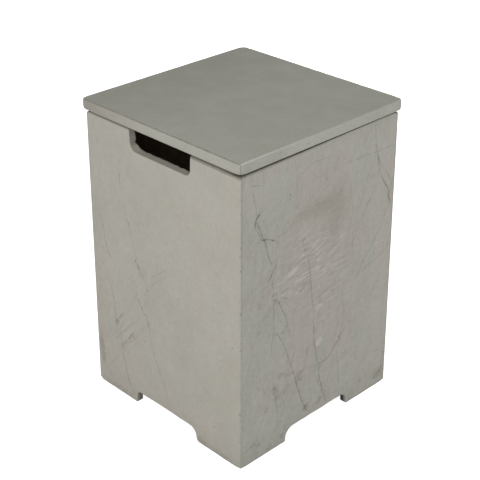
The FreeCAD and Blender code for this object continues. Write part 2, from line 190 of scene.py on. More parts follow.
def open_edge(reach, level, floor, facing, half, bends, mouths):
    """An edge of a wall that faces up (1) or down (-1), with an opening cut in to a floor.
    Each end of the opening has a rounded mouth, a short side and a bend of its own."""
    outwards = (0, facing)
    quarter = 90 * facing
    line = Outline((-reach, level), outwards)
    line.to((-half - mouths[0], level), outwards, FOOT_CELLS)
    line.arc(mouths[0], quarter, 0, TOE_CELLS)
    line.to((SIDE_LEAN - half, floor + facing * bends[0]), (1, 0), SIDE_CELLS)
    line.arc(bends[0], 180, 180 + quarter, BEND_CELLS, inward=True)
    line.to((half - SIDE_LEAN - bends[1], floor), outwards, SPAN_CELLS)
    line.arc(bends[1], -quarter, 0, BEND_CELLS, inward=True)
    line.to((half, level - facing * mouths[1]), (-1, 0), SIDE_CELLS)
    line.arc(mouths[1], 180, 180 - quarter, TOE_CELLS)
    line.to((reach, level), outwards, FOOT_CELLS)
    return line


def lower_edge(cast, reach):
    """A foot, the arch with its wavy top, and the other foot."""
    line = open_edge(reach, 0, ARCH_TOP, -1, ARCH_HALF, cast.bends, cast.toes)
    for i in range(SPAN_CELLS + 1):
        along, up = line.places[SPAN_START + i]
        wave = ARCH_WAVE * noise.noise(Vector((along / ARCH_WAVE_SIZE, cast.seed, 0.5)))
        line.places[SPAN_START + i] = (along, up + math.sin(math.pi * i / SPAN_CELLS) * wave)
    return line


def upper_edge(cast, reach):
    if cast.notch_bends:
        mouths = (NOTCH_MOUTH, NOTCH_MOUTH)
        return open_edge(reach, RIM, NOTCH_FLOOR, 1, NOTCH_HALF, cast.notch_bends, mouths)
    line = Outline((-reach, RIM), (0, 1))
    line.to((reach, RIM), (0, 1), 2 * SPAN_START + SPAN_CELLS)
    return line


def half_width(height):
    """Half the casing's outer width at a height; the walls lean in towards the rim."""
    return BASE_HALF - DRAFT * height / RIM


def corner_wear(amounts, wall, reach, along):
    """Wear at a place on a wall, by its distance from the wall's two corners."""
    before = amounts[wall] * math.exp(-((reach + along) / WEAR_LENGTH) ** 2)
    after = amounts[(wall + 1) % 4] * math.exp(-((reach - along) / WEAR_LENGTH) ** 2)
    return before + after


def corner_nearness(wall, along):
    """1 at the corner of the front and the right wall, falling along both walls."""
    if wall not in (FRONT, RIGHT):
        return 0
    gap = half_width(RIM) - along if wall == FRONT else half_width(RIM) + along
    return math.exp(-max(gap, 0) / CORNER_REACH)


def edge_noise(wall, along, size, seed):
    return noise.noise(Vector((along / size, wall * 7.3, seed)))


# Casing mesh
# A column is one closed line round the wall's section: up the outer face, over the rim,
# down the inner face and under the foot. The columns follow each other round the casing.
Column = namedtuple("Column", "wall turn even low low_normal high high_normal")


def wall_columns(wall, low_reach, high_reach):
    low, high = lower_edge(WALLS[wall], low_reach), upper_edge(WALLS[wall], high_reach)
    columns = []
    count = len(low.places)
    for i in range(count):
        (low_along, low_up), (high_along, high_up) = low.places[i], high.places[i]
        low_up += corner_wear(FOOT_WEAR, wall, low_reach, low_along)
        low_up += FOOT_RIPPLE * (0.5 + edge_noise(wall, low_along, 0.03, 6.2))
        high_up -= corner_wear(RIM_WEAR, wall, high_reach, high_along)
        high_up -= RIM_RIPPLE * (0.5 + edge_noise(wall, high_along, 0.02, 2.2))
        high_up -= CORNER_DROP * corner_nearness(wall, high_along)
        columns.append(Column(
            wall, 0, lerp(-1, 1, i / (count - 1)), (low_along, low_up), low.normals[i],
            (high_along, high_up), high.normals[i],
        ))
    return columns


def casing_columns():
    low_reach = half_width(0) - OUTER_CORNER
    high_reach = half_width(RIM) - OUTER_CORNER
    columns = []
    for wall in range(4):
        columns += wall_columns(wall, low_reach, high_reach)
        after = (wall + 1) % 4
        low = (low_reach, FOOT_WEAR[after])
        high = (high_reach, RIM - RIM_WEAR[after] - (CORNER_DROP if after == RIGHT else 0))
        for i in range(1, CORNER_CELLS):
            turn = math.pi / 2 * i / CORNER_CELLS
            columns.append(Column(wall, turn, 1, low, (0, -1), high, (0, 1)))
    return columns


class Ring:
    """The places round one column. Each has: along, up, depth into the wall, weight of the
    even spacing, and the facing: its share out of the wall and its two in the wall's plane."""

    def __init__(self):
        self.places = []

    def skin(self, start, end, rows, depth):
        for row in range(rows + 1):
            share = row / rows
            weight = min(1, share / EVEN_FROM, (1 - share) / EVEN_FROM)
            self.places.append((
                lerp(start[0], end[0], share), lerp(start[1], end[1], share), depth,
                1 - (1 - weight) ** 2, -1 if depth > 0 else 1, 0, 0,
            ))

    def rounding(self, place, normal, radius, outwards, at_outer):
        for step in range(1, ROUND_CELLS):
            share = step / ROUND_CELLS
            turn = math.pi / 2 * (1 - share if outwards else share)
            along, up = inset(place, normal, radius * (1 - math.sin(turn)))
            depth = radius * (1 - math.cos(turn))
            out = math.cos(turn) * (1 if at_outer else -1)
            in_plane = math.sin(turn)
            self.places.append((
                along, up, depth if at_outer else WALL - depth, 0,
                out, in_plane * normal[0], in_plane * normal[1],
            ))

    def across(self, place, normal, start, end, broken=0):
        for step in range(ACROSS_CELLS + 1):
            share = step / ACROSS_CELLS
            along, up = inset(place, normal, broken * share ** 1.5)
            self.places.append((along, up, lerp(start, end, share), 0, 0, *normal))


def notch_break(wall, high):
    """How far a notch's inner edge is broken back; below 0 where it stands out."""
    chipped = max(0, 0.1 + edge_noise(wall, high[0] + high[1], 0.009, 12.0))
    standing = NOTCH_FLASH * min(1, (RIM - high[1]) / NOTCH_EASE)
    broken = NOTCH_CHIP * chipped - standing
    if wall == FRONT:
        for place, reach, depth in FRONT_CORNER:
            broken += depth * math.exp(-(math.dist(place, high) / reach) ** 2)
    return broken


def ring_of(column):
    wall, low, high = column.wall, column.low, column.high
    foot_normal, rim_normal = column.low_normal, column.high_normal
    rim_round = RIM_ROUND + RIM_CHIP * max(0, edge_noise(wall, high[0] + column.turn, CHIP_SIZE, 21.7))
    foot_round = FOOT_ROUND + FOOT_CHIP * max(0, edge_noise(wall, low[0] + column.turn, CHIP_SIZE, 3.7))
    broken = 0
    if wall in (FRONT, BACK) and abs(high[0]) < NOTCH_HALF and column.turn == 0:
        broken = notch_break(wall, high)
    else:
        rim_round += CORNER_ROUND * corner_nearness(wall, high[0])
    inner_edge = inset(high, rim_normal, broken)
    foot = inset(low, foot_normal, foot_round)

    ring = Ring()
    ring.skin(foot, inset(high, rim_normal, rim_round), OUTER_ROWS, 0)
    ring.rounding(high, rim_normal, rim_round, False, True)
    ring.across(high, rim_normal, rim_round, WALL - INNER_ROUND, broken)
    ring.rounding(inner_edge, rim_normal, INNER_ROUND, True, False)
    ring.skin(inset(inner_edge, rim_normal, INNER_ROUND), foot, INNER_ROWS, WALL)
    ring.rounding(low, foot_normal, foot_round, False, False)
    ring.across(low, foot_normal, WALL - foot_round, foot_round)
    ring.rounding(low, foot_normal, foot_round, True, True)
    return ring.places


class Layout:
    """The casing's grid of columns by ring places, held as places on the walls."""

    def __init__(self, columns):
        rings = np.array([ring_of(column) for column in columns])
        self.wall = np.array([column.wall for column in columns])[:, None]
        self.turn = np.array([column.turn for column in columns])[:, None]
        even = np.array([column.even for column in columns])[:, None]
        along, self.up, self.depth, weight = np.moveaxis(rings[:, :, :4], 2, 0)
        self.facing = rings[:, :, 4:]
        reach = half_width(self.up) - OUTER_CORNER
        self.along = np.where(self.turn > 0, reach, lerp(along, even * reach, weight))

    def places(self, sunk=0):
        """Positions with the surface sunk inwards by a depth at each place."""
        along = self.along - sunk * self.facing[:, :, 1]
        up = np.clip(self.up - sunk * self.facing[:, :, 2], 0, RIM)
        depth = self.depth + sunk * self.facing[:, :, 0]
        half = half_width(up)
        reach = half - OUTER_CORNER
        along = np.where(self.turn > 0, reach, np.clip(along, -reach, reach))
        inner_reach = half - WALL - INNER_CORNER
        beyond = np.clip((np.abs(along) - STRAIGHT_HALF) / (reach - STRAIGHT_HALF), 0, 1)
        inner_along = np.where(
            np.abs(along) > STRAIGHT_HALF,
            np.sign(along) * lerp(STRAIGHT_HALF, inner_reach, beyond), along,
        )
        share = depth / WALL
        sin, cos = np.sin(self.turn), np.cos(self.turn)
        u = lerp(along + OUTER_CORNER * sin, inner_along + INNER_CORNER * sin, share)
        out = lerp(reach + OUTER_CORNER * cos, inner_reach + INNER_CORNER * cos, share)
        quarter = self.wall * math.pi / 2
        x = u * np.cos(quarter) + out * np.sin(quarter)
        y = u * np.sin(quarter) - out * np.cos(quarter)
        return np.stack([x, y, up], 2).reshape(-1, 3)


def quads(*corners):
    """Faces whose four corners are given as four grids, or four lines, of vertex numbers."""
    return np.stack(corners, -1).reshape(-1, 4).tolist()


def closed_grid(columns, rings):
    """Faces of a grid that is closed both ways."""
    here = np.arange(columns * rings).reshape(columns, rings)
    there = np.roll(here, -1, 0)
    return quads(here, there, np.roll(there, -1, 1), np.roll(here, -1, 1))


def rough(places, size, seed):
    """Smooth noise from -1 to 1 at each place, with bumps of about one size."""
    shift = Vector((seed, seed * 0.37, seed * 0.71))
    return np.array([noise.noise(Vector(place) / size + shift) for place in places])


def add_object(name, data, place=(0, 0, 0), turn=(0, 0, 0)):
    made = bpy.data.objects.new(name, data)
    made.location = place
    made.rotation_euler = turn
    bpy.context.scene.collection.objects.link(made)
    return made


def mesh_object(name, places, faces):
    mesh = bpy.data.meshes.new(name)
    mesh.from_pydata([tuple(place) for place in places], [], faces)
    mesh.validate()
    mesh.update()
    for polygon in mesh.polygons:
        polygon.use_smooth = True
    return add_object(name, mesh)


def store(obj, name, values):
    attribute = obj.data.attributes.new(name, "FLOAT", "POINT")
    attribute.data.foreach_set("value", np.asarray(values, np.float32).ravel())


# Hairline veins and short cracks, as places on a wall: along it and up, in millimetres.
# Each has a strength at its start and its end.
RIGHT_VEINS = [
    # near the front corner: a level line, the hook under it and the long vein
    ([(-176, 556), (-149, 550)], 0.5, 0.4),
    ([(-170, 546), (-164, 515), (-160, 490)], 0.35, 0.4),
    ([(-150, 503), (-162, 495), (-166, 484), (-164, 475)], 1.4, 1.1),
    ([(-163, 488), (-144, 447), (-125, 387)], 0.7, 0.7),
    ([(-125, 365), (-121, 336), (-119, 296), (-120, 257), (-126, 211)], 0.5, 0.3),
    ([(-161, 474), (-150, 449)], 0.35, 0.3),
    ([(-152, 451), (-134, 444), (-113, 434)], 1.3, 0.7),
    ([(-113, 394), (-122, 380), (-135, 360)], 0.6, 1.4),
    ([(-127, 322), (-103, 319), (-81, 309)], 0.6, 0.5),
    ([(-111, 318), (-88, 274), (-76, 224)], 0.65, 0.4),
    # the middle vein and its lower half
    ([(-52, 415), (-31, 362), (-17, 255), (-12, 189), (-1, 131)], 0.3, 0.6),
    ([(-1, 130), (6, 94), (14, 70), (27, 30)], 0.6, 0.85),
    ([(-4, 105), (1, 88), (8, 79)], 0.6, 0.5),
    # the strongest vein, with the ticks at its top and at the arch
    ([(-120, 250), (-89, 245)], 0.6, 0.6),
    ([(-110, 249), (-87, 202), (-63, 133), (-44, 74), (-22, 30)], 0.5, 0.75),
    ([(-63, 133), (-46, 137)], 0.7, 0.4),
    ([(-60, 125), (-46, 124)], 0.5, 0.3),
    ([(-40, 44), (-26, 59)], 1.0, 0.7),
    ([(-30, 41), (-15, 38)], 0.8, 0.4),
    # the line that climbs to the right across the lower half
    ([(-18, 133), (20, 133), (36, 142)], 0.4, 1.0),
    ([(36, 142), (60, 168), (90, 197)], 0.85, 0.1),
    # top right
    ([(133, 578), (139, 535), (149, 494), (158, 466), (179, 434), (183, 416), (193, 397)], 0.35, 0.8),
    ([(143, 513), (158, 486), (171, 473), (194, 433)], 0.35, 0.35),
    ([(187, 431), (181, 420), (188, 403)], 1.0, 0.7),
    ([(54, 523), (137, 519), (192, 518)], 0.3, 0.35),
    ([(-71, 526), (-51, 541), (-25, 552), (31, 546)], 0.3, 0.2),
    ([(-73, 575), (-67, 543), (-63, 471)], 0.2, 0.3),
    ([(-118, 442), (-87, 442), (-66, 463), (-28, 470), (28, 462)], 0.25, 0.15),
    # foot, right
    ([(156, 89), (185, 81)], 0.5, 0.35),
    ([(173, 28), (199, 30)], 0.8, 0.7),
    ([(118, 34), (130, 36)], 0.8, 0.6),
    ([(167, 20), (196, 16)], 0.5, 0.4),
    # foot, left
    ([(-123, 141), (-112, 134), (-108, 121)], 0.8, 0.5),
    ([(-116, 117), (-111, 86), (-105, 72)], 0.3, 0.2),
    ([(-117, 149), (-114, 114), (-106, 74)], 0.35, 0.3),
    # long hairs that lean to the right, in the right third
    ([(147, 454), (124, 422), (102, 395), (91, 368)], 0.4, 0.3),
    ([(121, 490), (116, 456), (100, 422), (85, 375), (86, 338)], 0.3, 0.35),
    ([(182, 401), (165, 362), (130, 320), (101, 281)], 0.35, 0.35),
    ([(194, 318), (169, 300), (132, 292), (101, 279)], 0.4, 0.2),
    ([(74, 471), (82, 425), (78, 395), (62, 348)], 0.3, 0.2),
    ([(59, 270), (68, 220), (61, 176), (53, 131), (63, 53)], 0.25, 0.3),
    ([(93, 124), (109, 99), (113, 78)], 0.2, 0.25),
]
FRONT_VEINS = [
    # left of the middle: the broken vein with its ticks
    ([(-103, 431), (-84, 371), (-71, 330)], 0.2, 0.4),
    ([(-79, 313), (-69, 329)], 1.0, 0.6),
    ([(-71, 320), (-64, 305), (-47, 286)], 1.0, 0.5),
    ([(-44, 277), (-41, 268)], 1.0, 0.8),
    ([(-82, 239), (-71, 255)], 1.0, 0.6),
    ([(-73, 245), (-65, 232), (-54, 216)], 0.9, 0.6),
    ([(-60, 213), (-46, 217)], 1.0, 0.7),
    ([(-48, 215), (-43, 192)], 0.6, 1.0),
    ([(-42, 196), (-31, 139), (-4, 83), (14, 38)], 0.25, 0.4),
    # left edge
    ([(-182, 389), (-166, 366), (-162, 328), (-143, 292)], 0.4, 0.4),
    ([(-163, 273), (-145, 217), (-139, 150)], 0.3, 0.5),
    ([(-140, 161), (-126, 180), (-111, 194)], 0.7, 0.4),
    ([(-128, 157), (-124, 93), (-103, 21)], 0.25, 0.8),
    # under the notch and beside it
    ([(-110, 490), (-109, 447)], 0.8, 0.3),
    ([(-97, 402), (-85, 384)], 0.2, 0.3),
    ([(-129, 580), (-123, 576)], 0.9, 0.6),
    ([(-168, 535), (-169, 527)], 0.8, 0.6),
    # faint strokes that climb to the right
    ([(-31, 302), (-3, 326), (18, 343)], 0.35, 0.25),
    ([(-35, 284), (0, 313)], 0.3, 0.2),
    ([(-62, 229), (-36, 252)], 0.25, 0.15),
    ([(-41, 391), (-25, 379)], 0.3, 0.2),
    # short strokes of a tool
    ([(-140, 99), (-52, 189)], 0.35, 0.25),
    ([(-145, 121), (-77, 192)], 0.3, 0.4),
    ([(-133, 102), (-72, 161)], 0.35, 0.25),
    ([(-126, 111), (-81, 169)], 0.4, 0.3),
    ([(-118, 128), (-88, 159)], 0.3, 0.5),
    ([(-169, 49), (-133, 90)], 0.25, 0.2),
    ([(-26, 144), (-33, 134)], 0.7, 0.5),
]


def wandering_veins(seed, count):
    """Veins for a wall that the eye reaches only from behind: they wander downwards."""
    rng = random.Random(seed)
    veins = []
    for _ in range(count):
        along, up = rng.uniform(-170, 150), rng.uniform(170, 560)
        lean = rng.uniform(-0.5, 0.6)
        places = [(along, up)]
        for _ in range(rng.randint(3, 7)):
            step = rng.uniform(16, 46)
            along = min(max(along + step * (lean + rng.uniform(-0.3, 0.3)), -190), 190)
            up = up - step
            if up < 34:
                break
            places.append((along, up))
        if len(places) > 1:
            veins.append((places, rng.uniform(0.2, 0.8), rng.uniform(0.1, 0.6)))
    return veins


WALL_VEINS = [FRONT_VEINS, RIGHT_VEINS, wandering_veins(31, 9), wandering_veins(47, 12)]

# How far from a vein its field is held, and over what length the vein thins out at each
# end, both in millimetres. The last is the share of its strength that an end keeps.
VEIN_REACH = 9.0
VEIN_TAPER = 8.0
VEIN_END = 0.12

# The veins are dealt out to this many fields, so that neighbours don't cut each other off
VEIN_SETS = 4


def vein_fields(along, up, veins):
    """Signed distance in millimetres to the nearest vein, and that vein's strength there.
    The strength fades before the distance changes from one vein to the next."""
    side = np.full(along.shape, VEIN_REACH)
    ink = np.zeros(along.shape)
    nearest = np.full(along.shape, 1e9)
    for places, start_ink, end_ink in veins:
        stretches = list(zip(places, places[1:]))
        total, gone = sum(math.dist(a, b) for a, b in stretches), 0
        for a, b in stretches:
            length = math.dist(a, b)
            du, dv = (b[0] - a[0]) / length, (b[1] - a[1]) / length
            held = np.clip((along - a[0]) * du + (up - a[1]) * dv, 0, length)
            far = np.hypot(along - a[0] - held * du, up - a[1] - held * dv)
            cross = (along - a[0]) * dv - (up - a[1]) * du
            share = (gone + held) / total
            taper = np.minimum(1, np.minimum(share, 1 - share) * total / VEIN_TAPER + VEIN_END)
            closer = far < nearest
            nearest = np.where(closer, far, nearest)
            side = np.where(closer, np.sign(cross) * far, side)
            ink = np.where(closer, lerp(start_ink, end_ink, share) * taper, ink)
            gone += length
    ink = ink * (1 - smooth(0.55 * VEIN_REACH, VEIN_REACH, nearest))
    return np.clip(side, -VEIN_REACH, VEIN_REACH), ink


# Stains of the two seen walls by kind. Each has its place along and up, its half width and
# half height in millimetres, and its strength.
RIGHT_STAINS = {
    "warm": [
        (-45, 525, 50, 45, 0.6), (10, 490, 50, 45, 0.8), (70, 400, 50, 60, 0.7),
        (-10, 300, 70, 110, 0.7), (50, 200, 60, 70, 0.6), (175, 250, 26, 240, 0.45),
        (-50, 160, 40, 70, 0.5),
    ],
    "cool": [
        (-190, 290, 28, 330, 1.3), (-130, 500, 60, 70, 0.9), (-130, 300, 35, 120, 0.6),
        (95, 540, 40, 40, 0.9), (130, 465, 42, 105, 0.8), (155, 350, 16, 120, 0.3),
        (-110, 60, 90, 50, 1.0), (90, 55, 70, 25, 0.6), (90, 120, 16, 60, 0.4),
    ],
    "olive": [
        (-50, 458, 38, 16, 0.7), (5, 462, 42, 20, 0.9), (42, 440, 26, 34, 0.9),
        (28, 400, 20, 28, 0.6), (-140, 330, 22, 90, 0.4), (-60, 110, 50, 30, 0.4),
    ],
    "dark": [
        (-102, 156, 10, 6, 0.8), (-82, 149, 11, 7, 0.8), (-115, 131, 8, 12, 1.0),
        (-112, 112, 8, 7, 0.6), (-84, 117, 22, 12, 0.5), (-142, 98, 12, 10, 0.7),
        (-48, 137, 12, 9, 0.7), (-50, 122, 8, 6, 0.7), (-32, 52, 11, 7, 1.1), (-95, 19, 10, 8, 1.0),
        (-158, 32, 9, 5, 1.0), (-173, 37, 8, 5, 1.0), (-131, 9, 18, 6, 0.9), (6, 49, 9, 6, 0.8),
        (73, 123, 16, 12, 0.6), (124, 38, 10, 6, 0.8), (178, 26, 26, 14, 1.0),
        (192, 60, 8, 30, 0.7), (-197, 88, 3, 6, 1.1), (-197, 60, 3, 6, 1.1),
        (-50, 90, 110, 70, 0.25), (20, 62, 20, 18, 0.4), (-172, 300, 5, 90, 0.5),
        (-26, 179, 14, 16, 0.5),
    ],
    "pale": [
        (-2, 260, 14, 9, 1.0), (0, 183, 14, 12, 1.1), (43, 184, 9, 5, 0.7), (-67, 197, 7, 10, 0.6),
        (-185, 561, 7, 6, 0.9), (-140, 578, 5, 3, 1.2), (-120, 579, 5, 2, 1.2),
        (-8, 342, 11, 44, 0.6),
    ],
    "brushed": [
        (-45, 375, 75, 50, 1.1), (5, 335, 60, 70, 1.0), (-75, 330, 45, 50, 0.8),
        (30, 250, 50, 60, 0.5),
    ],
    "light": [
        (175, 290, 55, 420, 1.0), (115, 470, 40, 60, 0.4), (-130, 542, 90, 34, 1.2),
        (40, 556, 90, 30, 0.6), (60, 60, 80, 60, 0.5),
    ],
}
FRONT_STAINS = {
    "warm": [
        (187, 440, 18, 120, 1.2), (120, 430, 50, 80, 0.5), (-185, 230, 18, 190, 0.9),
        (187, 200, 18, 150, 0.6), (-130, 65, 60, 45, 1.4), (60, 40, 90, 30, 0.9),
    ],
    "cool": [
        (-130, 460, 32, 100, 1.2), (-20, 165, 50, 60, 1.1), (10, 525, 90, 32, 1.0),
        (120, 550, 50, 28, 0.8), (-45, 300, 50, 70, 0.5),
    ],
    "olive": [
        (-200, 330, 60, 400, 0.42), (-120, 60, 90, 50, 0.2), (50, 190, 36, 60, 0.4),
        (115, 110, 42, 42, 0.4), (43, 465, 18, 24, 0.35), (75, 262, 30, 24, 0.35),
    ],
    "dark": [
        (-136, 165, 8, 8, 0.9), (-124, 178, 8, 6, 0.7), (-140, 150, 6, 14, 0.5),
        (-42, 200, 5, 7, 1.0), (-42, 272, 5, 7, 0.8), (105, 8, 6, 5, 0.8), (-190, 88, 9, 34, 1.1),
        (-184, 52, 6, 24, 0.8), (-140, 8, 60, 8, 0.9), (150, 6, 55, 8, 0.9), (-95, 24, 14, 12, 0.5),
        (96, 12, 8, 8, 0.7),
    ],
    "pale": [
        (-43, 472, 24, 18, 0.5), (-3, 437, 24, 18, 0.55), (34, 411, 20, 12, 0.5),
    ],
    "brushed": [
        (-110, 150, 40, 45, 1.2), (-40, 280, 60, 50, 0.6), (60, 560, 60, 30, 0.4),
    ],
}

# Stains of each kind on the two walls at the back
STAINS_BEHIND = 7
STAIN_SEED = 60


def random_stains(seed, count):
    rng = random.Random(seed)
    stains = {BACK: [], LEFT: []}
    for _ in range(count):
        wall = rng.choice((BACK, LEFT))
        stains[wall].append((
            rng.uniform(-190, 190), rng.uniform(20, 560), rng.uniform(15, 70),
            rng.uniform(20, 110), rng.uniform(0.4, 0.9),
        ))
    return stains


def stain_field(layout, stains):
    field = np.zeros(layout.up.shape)
    for wall, blots in stains.items():
        for centre_along, centre_up, half_along, half_up, strength in blots:
            across = (layout.along / MM - centre_along) / half_along
            upwards = (layout.up / MM - centre_up) / half_up
            blot = strength * np.exp(-(across ** 2 + upwards ** 2))
            field += np.where(layout.wall == wall, blot, 0)
    return field


def mark_veins(casing, layout, outer):
    for each in range(VEIN_SETS):
        sides = np.full(outer.shape, VEIN_REACH)
        inks = np.zeros(outer.shape)
        for wall, veins in enumerate(WALL_VEINS):
            rows = layout.wall[:, 0] == wall
            along, up = layout.along[rows] / MM, layout.up[rows] / MM
            sides[rows], inks[rows] = vein_fields(along, up, veins[each::VEIN_SETS])
        store(casing, f"vein_side_{each}", sides)
        store(casing, f"vein_ink_{each}", inks * outer)


def mark_stains(casing, layout, outer):
    for number, kind in enumerate(RIGHT_STAINS):
        stains = random_stains(STAIN_SEED + number, STAINS_BEHIND)
        stains[RIGHT] = RIGHT_STAINS[kind]
        stains[FRONT] = FRONT_STAINS.get(kind, [])
        store(casing, kind, stain_field(layout, stains) * outer)


def mark_places(casing, layout, outer):
    walls, along, up, depth = layout.wall, layout.along, layout.up, layout.depth
    store(casing, "outer_share", 1 - depth / WALL)
    # painted shade on the rim's top, under the lid
    store(casing, "shaded_rim_top", (layout.facing[:, :, 2] > 0.9) & (up > NOTCH_FLOOR + 10 * MM))
    in_notch = (np.abs(along) < NOTCH_HALF + 1 * MM) & (up > NOTCH_FLOOR - 4 * MM)
    store(casing, "ledge", in_notch & (walls % 2 == 0) & (depth > 0.8 * MM))
    store(casing, "arch_depth", np.where(up < ARCH_TOP + 6 * MM, depth / WALL, 0))
    # the corner between the front and the right wall is the most pitted
    pitted = np.where(walls == FRONT, 1, 0.5)
    store(casing, "corner", np.sin(2 * layout.turn) * outer * pitted)
    for name, wall in (("front_wall", FRONT), ("right_wall", RIGHT)):
        store(casing, name, (walls == wall) * np.ones(along.shape))


def make_casing():
    layout = Layout(casing_columns())
    shape = layout.up.shape
    places = layout.places()
    wave = 0.5 + 0.5 * rough(places, 0.13, 3.1)
    pits = 0.5 + 0.5 * rough(places, 0.03, 8.4)
    sunk = (CAST_WAVE * wave + CAST_PITS * pits).reshape(shape)
    casing = mesh_object("casing_shell", layout.places(sunk), closed_grid(*shape))
    outer = layout.depth < 1 * MM
    mark_veins(casing, layout, outer)
    mark_stains(casing, layout, outer)
    mark_places(casing, layout, outer)
    return casing


# Lid
LID_HALF = lid_high.x
LID_SIDE_CELLS = 84
LID_ARC_CELLS = 5
LID_TOP_ROUND = 2.4 * MM
LID_UNDER_ROUND = 1.6 * MM
# Rounding of the lid's upright corners
LID_CORNERS = [8 * MM, 4 * MM, 9 * MM, 8 * MM]
# How far the edges are worn back at the lid's corners, and over what length
LID_CORNER_WEAR = 1.6 * MM
LID_WEAR_LENGTH = 7 * MM
# Chips of the upper edge, and waviness of the faces
LID_CHIP = 2.0 * MM
LID_WAVE = 0.2 * MM
# The height at which the lid's upright sides pass into its upper rounding
SIDE_HIGH = lid_high.z - LID_TOP_ROUND
UNDER_STEPS = 3
SIDE_STEPS = 4
TOP_STEPS = 5


def lid_loop(margin):
    """The lid's outline drawn a margin inside, from the middle of its front left corner."""
    first = LID_CORNERS[FRONT]
    start = first - LID_HALF - (first - margin) * math.sqrt(0.5)
    line = Outline((start, start), None)
    for side in range(4):
        radius, next_radius = LID_CORNERS[side], LID_CORNERS[(side + 1) % 4]
        ahead = 90 * side
        line.arc(radius - margin, ahead - 135, ahead - 90, LID_ARC_CELLS)
        x, y = line.places[-1]
        run = 2 * LID_HALF - radius - next_radius
        end = (x + run * math.cos(math.radians(ahead)), y + run * math.sin(math.radians(ahead)))
        line.to(end, None, LID_SIDE_CELLS - 2 * LID_ARC_CELLS)
        line.arc(next_radius - margin, ahead - 90, ahead - 45, LID_ARC_CELLS)
    return line.places[:-1]


def lid_face(margin):
    """A grid over the lid's face. Its border is the lid's outline drawn a margin inside."""
    n = LID_SIDE_CELLS
    loop = np.array(lid_loop(margin) * 2)
    front, right, back, left = (loop[side * n:(side + 1) * n + 1] for side in range(4))
    back, left = back[::-1], left[::-1]
    s = np.linspace(0, 1, n + 1)[None, :, None]
    t = np.linspace(0, 1, n + 1)[:, None, None]
    ruled = front * (1 - t) + back * t + left[:, None] * (1 - s) + right[:, None] * s
    corners = (front[0] * (1 - s) + front[n] * s) * (1 - t) + (back[0] * (1 - s) + back[n] * s) * t
    return (ruled - corners).reshape(-1, 2)


def lid_profile():
    """The lid's edge between its two faces, from below: its margin and its height."""
    edge = Outline((LID_UNDER_ROUND, lid_low.z), None)
    edge.arc(LID_UNDER_ROUND, -90, -180, UNDER_STEPS)
    edge.to((0, SIDE_HIGH), None, SIDE_STEPS)
    edge.arc(LID_TOP_ROUND, 180, 90, TOP_STEPS)
    return edge.places[1:-1]


def lid_mesh():
    """A grid for each face, and between them loops round the edge."""
    across = LID_SIDE_CELLS + 1
    round_edge = np.arange(4 * LID_SIDE_CELLS)
    profile = lid_profile()
    under = np.arange(across * across).reshape(across, across)
    upper = under + under.size + len(profile) * round_edge.size
    layers = [(lid_face(LID_UNDER_ROUND), lid_low.z)]
    layers += [(lid_loop(margin), height) for margin, height in profile]
    layers += [(lid_face(LID_TOP_ROUND), lid_high.z)]
    places = [(x, y, height) for layer, height in layers for x, y in layer]

    border = np.concatenate([under[0, :-1], under[:-1, -1], under[-1, :0:-1], under[:0:-1, 0]])
    loops = [border]
    loops += [under.size + step * round_edge.size + round_edge for step in range(len(profile))]
    loops += [upper[0, 0] + border]
    faces = quads(under[1:, :-1], under[1:, 1:], under[:-1, 1:], under[:-1, :-1])
    faces += quads(upper[:-1, :-1], upper[:-1, 1:], upper[1:, 1:], upper[1:, :-1])
    for low, high in zip(loops, loops[1:]):
        faces += quads(low, np.roll(low, -1), np.roll(high, -1), high)
    return places, faces


def wear_lid(lid, base, edge_distance):
    """Sinks the lid's surface: in waves, at chips of the upper edge and at the corners."""
    normals = np.array([vertex.normal for vertex in lid.data.vertices])
    wave = 0.5 + 0.5 * rough(base, 0.15, 5.5)
    near_edge = (edge_distance < LID_TOP_ROUND * 1.01) & (base[:, 2] > SIDE_HIGH - 0.1 * MM)
    chip = np.clip(rough(base, 0.012, 2.7) - 0.3, 0, 1) * LID_CHIP
    from_corner = np.hypot(LID_HALF - np.abs(base[:, 0]), LID_HALF - np.abs(base[:, 1]))
    from_middle = np.abs(base[:, 2] - (lid_low.z + lid_high.z) / 2) / (lid_high.z - lid_low.z)
    worn = LID_CORNER_WEAR * np.exp(-(from_corner / LID_WEAR_LENGTH) ** 2) * smooth(0.3, 0.5, from_middle)
    sunk = LID_WAVE * wave + np.where(near_edge, chip, 0) + worn
    moved = base - normals * sunk[:, None]
    lid.data.vertices.foreach_set("co", moved.astype(np.float32).ravel())
    lid.data.update()


def make_lid():
    places, faces = lid_mesh()
    lid = mesh_object("lid_top_slab", places, faces)
    base = np.array(places)
    x, y, z = base.T
    edge_distance = np.minimum(LID_HALF - np.abs(x), LID_HALF - np.abs(y))
    wear_lid(lid, base, edge_distance)
    store(lid, "upper_face", smooth(SIDE_HIGH + 0.3 * MM, lid_high.z - 0.5 * MM, z))
    rounded = (edge_distance < 0.7 * LID_TOP_ROUND) & (z > SIDE_HIGH + 0.1 * MM)
    store(lid, "front_edge", rounded & (y < LID_TOP_ROUND - LID_HALF))
    # where the painted highlight along the right side's upper rounding goes
    store(lid, "right_edge", rounded & (x > LID_HALF - LID_TOP_ROUND))
    store(lid, "upright_edge", (x > LID_HALF - 2 * MM) & (y < 2 * MM - LID_HALF))
    return lid


# Node trees
def srgb(*levels):
    """A colour written in display values from 11 to 255, as the linear colour of a shader."""
    return (*(((level / 255 + 0.055) / 1.055) ** 2.4 for level in levels), 1)


